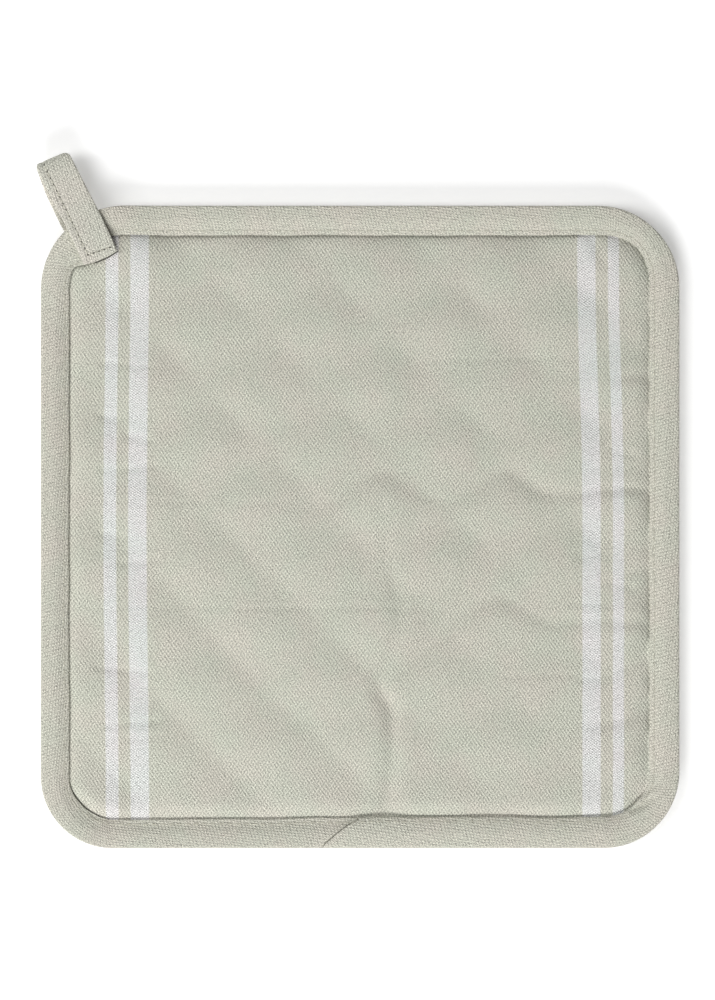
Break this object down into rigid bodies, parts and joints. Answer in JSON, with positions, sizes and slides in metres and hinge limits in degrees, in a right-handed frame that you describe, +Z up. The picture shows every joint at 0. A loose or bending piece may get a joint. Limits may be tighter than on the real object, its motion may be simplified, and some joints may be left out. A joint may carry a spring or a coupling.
{
  "type": "quilted pot holder",
  "caption": "Square padded cloth pot holder, diamond quilted, edged with folded tape, with a tape hanging loop at one corner.",
  "frame": {"origin": "middle of the pad's underside, on the surface that the pot holder lies on", "axes": "+Z up out of the face; +Y towards the edge with the hanging loop; +X to the right of the face"},
  "size_m": [0.2006, 0.2172, 0.0117],
  "materials": {
    "face_cloth": "matte cotton twill in pale grey green with woven white stripes",
    "binding_tape": "matte plain-weave cotton tape, folded and stitched",
    "loop_tape": "matte plain-weave cotton tape, folded and edge stitched"
  },
  "bodies": {
    "root": {"pad": "face_cloth", "binding": "binding_tape", "hanging_loop": "loop_tape"}
  },
  "joints": []
}
